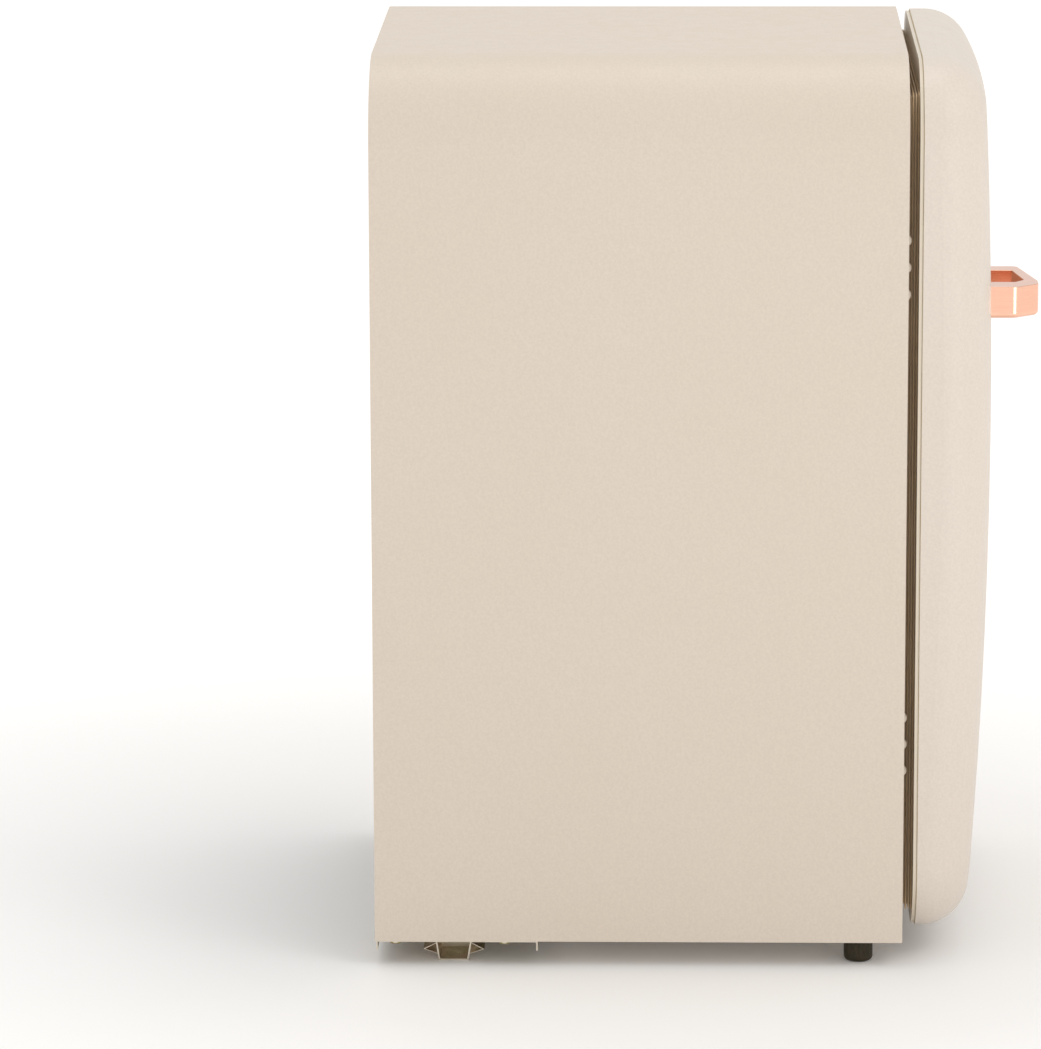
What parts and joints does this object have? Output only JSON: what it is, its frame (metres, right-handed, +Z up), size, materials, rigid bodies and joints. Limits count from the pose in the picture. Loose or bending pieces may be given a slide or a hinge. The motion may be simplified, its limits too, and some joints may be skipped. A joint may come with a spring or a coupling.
{
  "type": "mini fridge",
  "caption": "Retro undercounter fridge with round top corners, a crowned side-hung door with a bar handle, glass shelves, crisper drawer, icebox and rear compressor bay.",
  "frame": {"origin": "on the floor, under the middle of the closed fridge's bounding box, handle included", "axes": "+Z up, -Y towards the person who opens the door, +X to the hinge side"},
  "size_m": [0.487, 0.6116, 0.845],
  "materials": {
    "cabinet_paint": "satin",
    "door_paint": "satin",
    "galvanised_sheet": "satin",
    "zinc_plate": "satin",
    "black_paint": "gloss",
    "steel_fixings": "satin",
    "hinge_plate": "satin",
    "liner_plastic": "gloss",
    "door_liner_plastic": "satin",
    "insulation_foam": "matte",
    "copper_tube": "satin",
    "evaporator_aluminium": "satin",
    "shelf_glass": "gloss",
    "trim_plastic": "gloss",
    "clear_plastic": "gloss",
    "lens_plastic": "gloss",
    "knob_plastic": "satin",
    "board": "matte",
    "black_plastic": "matte",
    "grommet_rubber": "matte",
    "gasket_rubber": "matte",
    "foot_plastic": "satin",
    "plug_plastic": "satin",
    "rose_gold": "satin"
  },
  "bodies": {
    "cabinet": {"cabinet_wrap": "cabinet_paint", "bottom_front_rail": "cabinet_paint", "bottom_panel": "cabinet_paint", "rear_panel": "galvanised_sheet", "bay_panel": "galvanised_sheet", "compressor_plate": "zinc_plate", "plate_screws": "zinc_plate", "compressor_legs": "zinc_plate", "compressor_bolts": "zinc_plate", "compressor_can": "black_paint", "rear_panel_screws": "steel_fixings", "foot_nuts": "steel_fixings", "hinge_pins": "steel_fixings", "hinge_cabinet_screws": "steel_fixings", "lower_hinge_cabinet_leaf": "hinge_plate", "upper_hinge_cabinet_leaf": "hinge_plate", "inner_liner": "liner_plastic", "icebox_frame": "liner_plastic", "drip_tray": "liner_plastic", "cabinet_foam": "insulation_foam", "condenser_coil_left": "copper_tube", "condenser_coil_right": "copper_tube", "suction_pipe": "copper_tube", "discharge_pipe": "copper_tube", "liquid_pipe": "copper_tube", "capillary_tube": "copper_tube", "filter_drier": "copper_tube", "evaporator_box": "evaporator_aluminium", "lower_shelf_glass": "shelf_glass", "upper_shelf_glass": "shelf_glass", "crisper_cover_glass": "shelf_glass", "lower_shelf_trims": "trim_plastic", "upper_shelf_trims": "trim_plastic", "crisper_cover_trims": "trim_plastic", "thermostat_housing": "trim_plastic", "lamp_lens": "lens_plastic", "thermostat_body": "knob_plastic", "lamp_board": "board", "terminal_cover": "black_plastic", "cord_gland": "black_plastic", "evaporation_tray": "black_plastic", "compressor_grommets": "grommet_rubber", "hinge_hole_plugs": "plug_plastic"},
    "door": {"door_skin": "door_paint", "door_foam": "insulation_foam", "door_liner": "door_liner_plastic", "door_gasket": "gasket_rubber", "bottle_rack": "clear_plastic", "middle_rack": "clear_plastic", "top_rack": "clear_plastic", "door_handle": "rose_gold", "handle_screws": "steel_fixings", "lower_hinge_door_leaf": "hinge_plate", "upper_hinge_door_leaf": "hinge_plate", "hinge_door_screws": "steel_fixings"},
    "crisper": {"crisper_drawer": "clear_plastic"},
    "icebox_door": {"icebox_flap": "liner_plastic"},
    "thermostat_dial": {"thermostat_knob": "knob_plastic"},
    "foot_left": {"levelling_foot_left": "foot_plastic"},
    "foot_right": {"levelling_foot_right": "foot_plastic"}
  },
  "joints": [
    {"name": "door_hinge", "type": "hinge", "parent": "cabinet", "child": "door", "pos_m": [0.2402, -0.18895, 0.4345], "axis": [0, 0, 1], "range_deg": [0, 110]},
    {"name": "crisper_slide", "type": "slide", "parent": "cabinet", "child": "crisper", "axis": [0, -1, 0], "range_m": [0, 0.175]},
    {"name": "icebox_door_hinge", "type": "hinge", "parent": "cabinet", "child": "icebox_door", "pos_m": [0.161, -0.0987, 0.7354], "axis": [0, 0, 1], "range_deg": [0, 85]},
    {"name": "thermostat_dial_turn", "type": "hinge", "parent": "cabinet", "child": "thermostat_dial", "pos_m": [0.161, -0.038, 0.585], "axis": [1, 0, 0], "range_deg": [0, 270]},
    {"name": "foot_left_turn", "type": "hinge", "parent": "cabinet", "child": "foot_left", "pos_m": [-0.2135, -0.1442, 0.012], "axis": [0, 0, 1], "continuous": true},
    {"name": "foot_right_turn", "type": "hinge", "parent": "cabinet", "child": "foot_right", "pos_m": [0.2135, -0.1442, 0.012], "axis": [0, 0, 1], "continuous": true}
  ],
  "couplings": [
    {"joint": "crisper_slide", "follows": "door_hinge", "m_per_rad": 0.09},
    {"joint": "icebox_door_hinge", "follows": "door_hinge", "ratio": 0.75}
  ]
}
